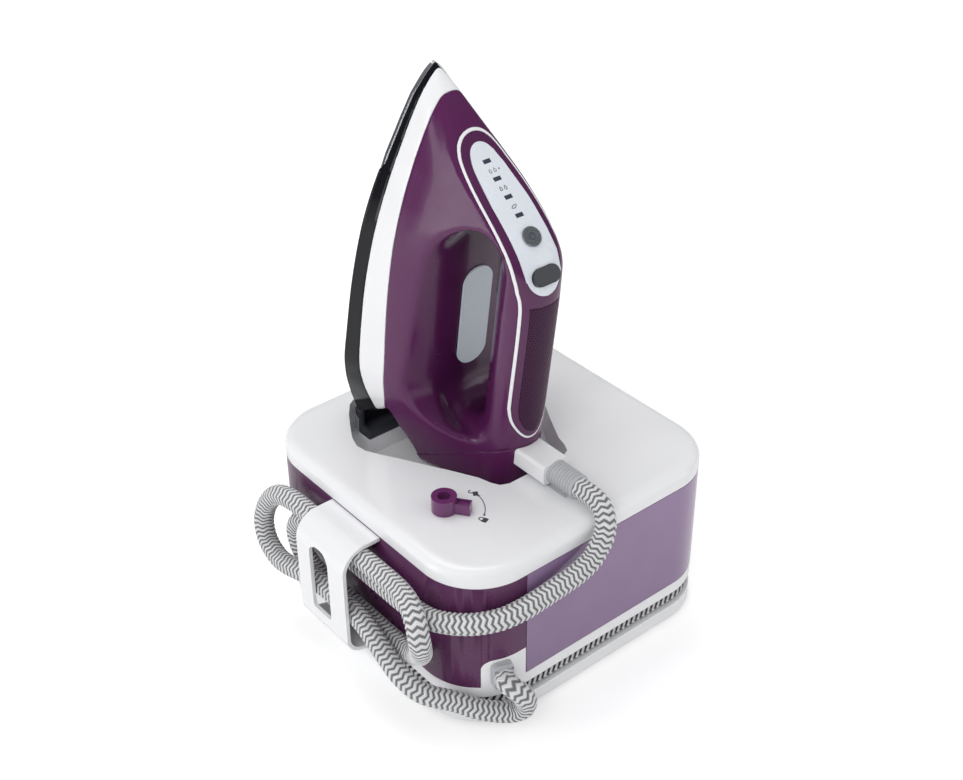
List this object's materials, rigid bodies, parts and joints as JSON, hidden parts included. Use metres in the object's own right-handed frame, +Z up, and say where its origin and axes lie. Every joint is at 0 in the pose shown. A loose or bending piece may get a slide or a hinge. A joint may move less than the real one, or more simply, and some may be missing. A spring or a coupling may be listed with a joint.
{
  "type": "steam generator iron",
  "caption": "Upright-parking steam generator iron with a station that holds a water tank, a pump and a boiler, joined by a textile steam hose stored round the station.",
  "frame": {"origin": "centre of the bounding box's floor, under the rubber feet", "axes": "+Z up; +X along the side with the water tank, towards the tank's free end; +Y towards the side the iron's soleplate faces"},
  "size_m": [0.247, 0.2412, 0.369],
  "materials": {
    "white_gloss": "glossy",
    "panel_white": "satin",
    "housing_plum": "glossy",
    "body_plum": "glossy",
    "band_plum": "satin",
    "grip_plum": "fine dotted grip",
    "tank_lavender": "clear tinted",
    "knob_purple": "glossy",
    "black_satin": "satin",
    "insert_black": "matt, heat proof",
    "black_moulded": "satin",
    "rubber_dark": "matt",
    "cuff_grey": "satin",
    "hose_textile": "woven, grey and white zigzag",
    "cord_textile": "woven, black and white zigzag",
    "sole_metal": "polished",
    "cast_alloy": "as cast",
    "heater_steel": "oxidised",
    "spring_steel": "bright",
    "valve_brass": "machined",
    "coil_amber": "lacquered",
    "inner_white": "matt",
    "thermostat_tan": "matt",
    "tube_silicone": "matt",
    "pipe_metal": "bright",
    "board_green": "lacquered",
    "badge_grey": "satin, blank",
    "window_dark": "glossy, dark",
    "key_metal": "satin metallic",
    "key_glass": "glossy, dark",
    "trigger_grey": "satin"
  },
  "bodies": {
    "station": {"base_tray": "white_gloss", "rubber_feet": "rubber_dark", "base_screws": "spring_steel", "side_housing": "housing_plum", "top_cover": "white_gloss", "rest_insert": "insert_black", "rest_pads": "rubber_dark", "tank_coupling": "inner_white", "tank_seal": "rubber_dark", "hose_clip": "white_gloss", "steam_hose": "hose_textile", "hose_outlet_cuff": "cuff_grey", "mains_cord": "cord_textile", "cord_bushing": "rubber_dark", "mains_plug": "black_moulded", "boiler_body": "cast_alloy", "boiler_heater": "heater_steel", "boiler_thermostat": "thermostat_tan", "safety_valve": "valve_brass", "solenoid_valve": "valve_brass", "pump_body": "inner_white", "pump_coil": "coil_amber", "pump_spring": "spring_steel", "suction_tube": "tube_silicone", "pressure_tube": "tube_silicone", "steam_pipe": "pipe_metal", "control_board": "board_green"},
    "tank": {"water_tank": "tank_lavender", "tank_valve_spring": "spring_steel"},
    "flap": {"filler_flap": "tank_lavender"},
    "valve": {"tank_valve": "spring_steel"},
    "knob": {"lock_knob": "knob_purple"},
    "latch": {"lock_latch": "spring_steel"},
    "piston": {"pump_piston": "spring_steel"},
    "iron": {"soleplate": "sole_metal", "steam_chamber_base": "cast_alloy", "iron_heater": "heater_steel", "steam_chamber_cover": "cast_alloy", "iron_thermostat": "thermostat_tan", "sole_skirt": "black_satin", "lower_shell": "white_gloss", "upper_shell": "body_plum", "heel_cover": "body_plum", "handle_trim_ring": "white_gloss", "handle_band": "band_plum", "handle_grip": "grip_plum", "control_panel": "panel_white", "indicator_windows": "window_dark", "indicator_board": "board_green", "trigger_spring": "spring_steel", "trigger_switch": "black_moulded", "body_badge": "badge_grey", "hose_connector": "white_gloss", "iron_hose_cuff": "cuff_grey", "iron_steam_tube": "tube_silicone", "iron_screws": "spring_steel"},
    "mode_key": {"mode_button": "key_metal"},
    "reset_key": {"reset_button": "key_glass"},
    "trigger": {"steam_trigger": "trigger_grey"}
  },
  "joints": [
    {"name": "iron_lift", "type": "slide", "parent": "station", "child": "iron", "axis": [0, 0, 1], "range_m": [0, 0.09]},
    {"name": "tank_slide", "type": "slide", "parent": "station", "child": "tank", "axis": [1, 0, 0], "range_m": [0, 0.08]},
    {"name": "flap_hinge", "type": "hinge", "parent": "tank", "child": "flap", "pos_m": [0.1215, -0.03037, 0.065], "axis": [0, 1, 0], "range_deg": [0, 95]},
    {"name": "tank_valve_slide", "type": "slide", "parent": "tank", "child": "valve", "axis": [1, 0, 0], "range_m": [0, 0.002], "stiffness_N_per_m": 400, "deforming": ["tank_valve_spring"]},
    {"name": "knob_turn", "type": "hinge", "parent": "station", "child": "knob", "pos_m": [-0.0565, -0.02887, 0.124], "axis": [0, 0, 1], "range_deg": [0, 60]},
    {"name": "latch_slide", "type": "slide", "parent": "station", "child": "latch", "axis": [-1, 0, 0], "range_m": [0, 0.008]},
    {"name": "piston_stroke", "type": "slide", "parent": "station", "child": "piston", "axis": [1, 0, 0], "range_m": [0, 0.008], "stiffness_N_per_m": 600, "deforming": ["pump_spring"]},
    {"name": "mode_press", "type": "slide", "parent": "iron", "child": "mode_key", "axis": [0, 0.7148, -0.6993], "range_m": [0, 0.001], "stiffness_N_per_m": 500},
    {"name": "reset_press", "type": "slide", "parent": "iron", "child": "reset_key", "axis": [0, 0.903, -0.4296], "range_m": [0, 0.001], "stiffness_N_per_m": 500},
    {"name": "trigger_squeeze", "type": "hinge", "parent": "iron", "child": "trigger", "pos_m": [0.0145, -0.01386, 0.23483], "axis": [1, 0, 0], "range_deg": [0, 3], "stiffness_Nm_per_rad": 0.3, "deforming": ["trigger_spring"]}
  ],
  "couplings": [
    {"joint": "knob_turn", "follows": "latch_slide", "rad_per_m": 130.9}
  ]
}
